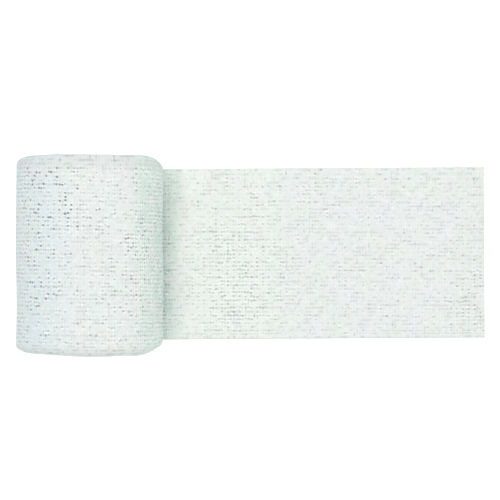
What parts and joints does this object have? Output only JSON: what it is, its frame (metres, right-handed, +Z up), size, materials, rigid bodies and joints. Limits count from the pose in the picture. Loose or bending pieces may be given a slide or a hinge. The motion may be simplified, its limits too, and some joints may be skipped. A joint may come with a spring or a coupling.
{
  "type": "plaster bandage roll",
  "caption": "Wound roll of white plaster-coated gauze bandage lying on its side, with its loose end coming off the bottom and lying flat.",
  "frame": {"origin": "on the surface that the roll rests on, in the middle of its flat spot, under the roll's axis and halfway along its width", "axes": "+X along the loose end, away from the roll; +Y along the roll's axis; +Z up"},
  "size_m": [0.2625, 0.1014, 0.0776],
  "materials": {
    "plaster_gauze": "matt, powdery plaster on open gauze"
  },
  "bodies": {
    "root": {"roll": "plaster_gauze", "loose_end": "plaster_gauze"}
  },
  "joints": []
}
